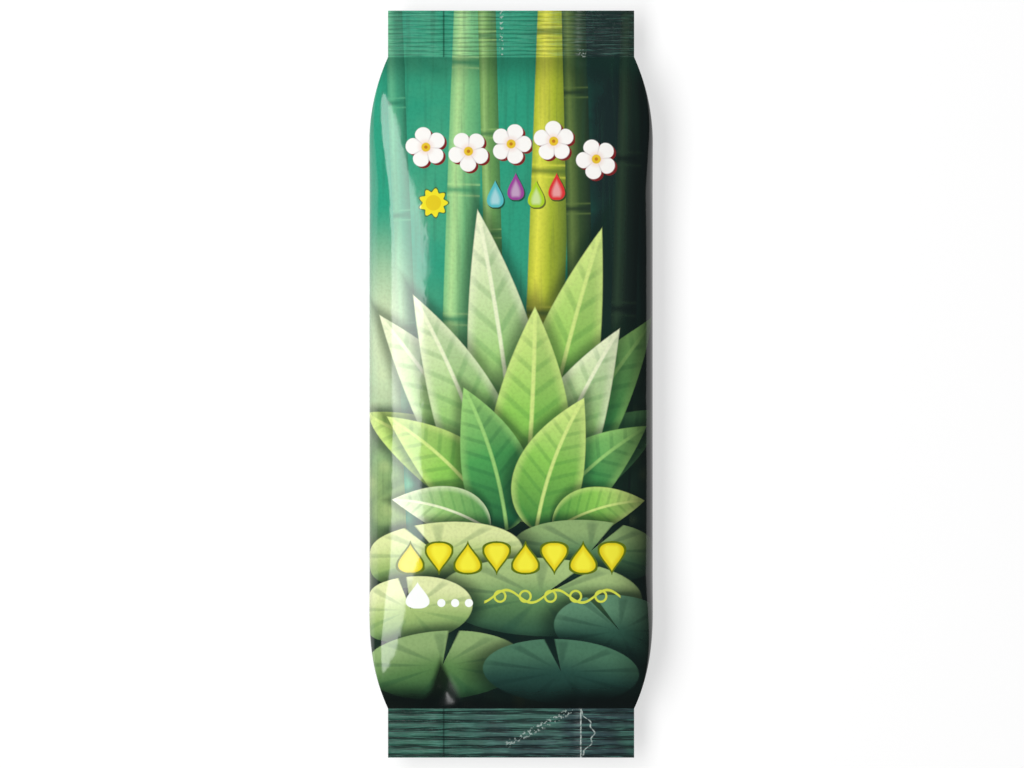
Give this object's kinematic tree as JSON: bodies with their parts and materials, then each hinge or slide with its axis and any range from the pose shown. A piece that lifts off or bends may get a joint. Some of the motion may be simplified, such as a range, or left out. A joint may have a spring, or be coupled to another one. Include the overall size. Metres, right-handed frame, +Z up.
{
  "type": "wet wipes pack",
  "caption": "Flat pillow-shaped pocket pack of moist wipes in glossy printed film, with tucked side gussets, ribbed end seals and a fin seal folded flat along its back.",
  "frame": {"origin": "under the middle of the pack, on the surface that its back lies on", "axes": "+X across the pack, to the right of its printed front; +Y along it, towards the top of the front; +Z up, out of the front"},
  "size_m": [0.0682, 0.18, 0.0164],
  "materials": {
    "printed_film": "glossy film printed in greens"
  },
  "bodies": {
    "root": {"wipes_pack": "printed_film"}
  },
  "joints": []
}
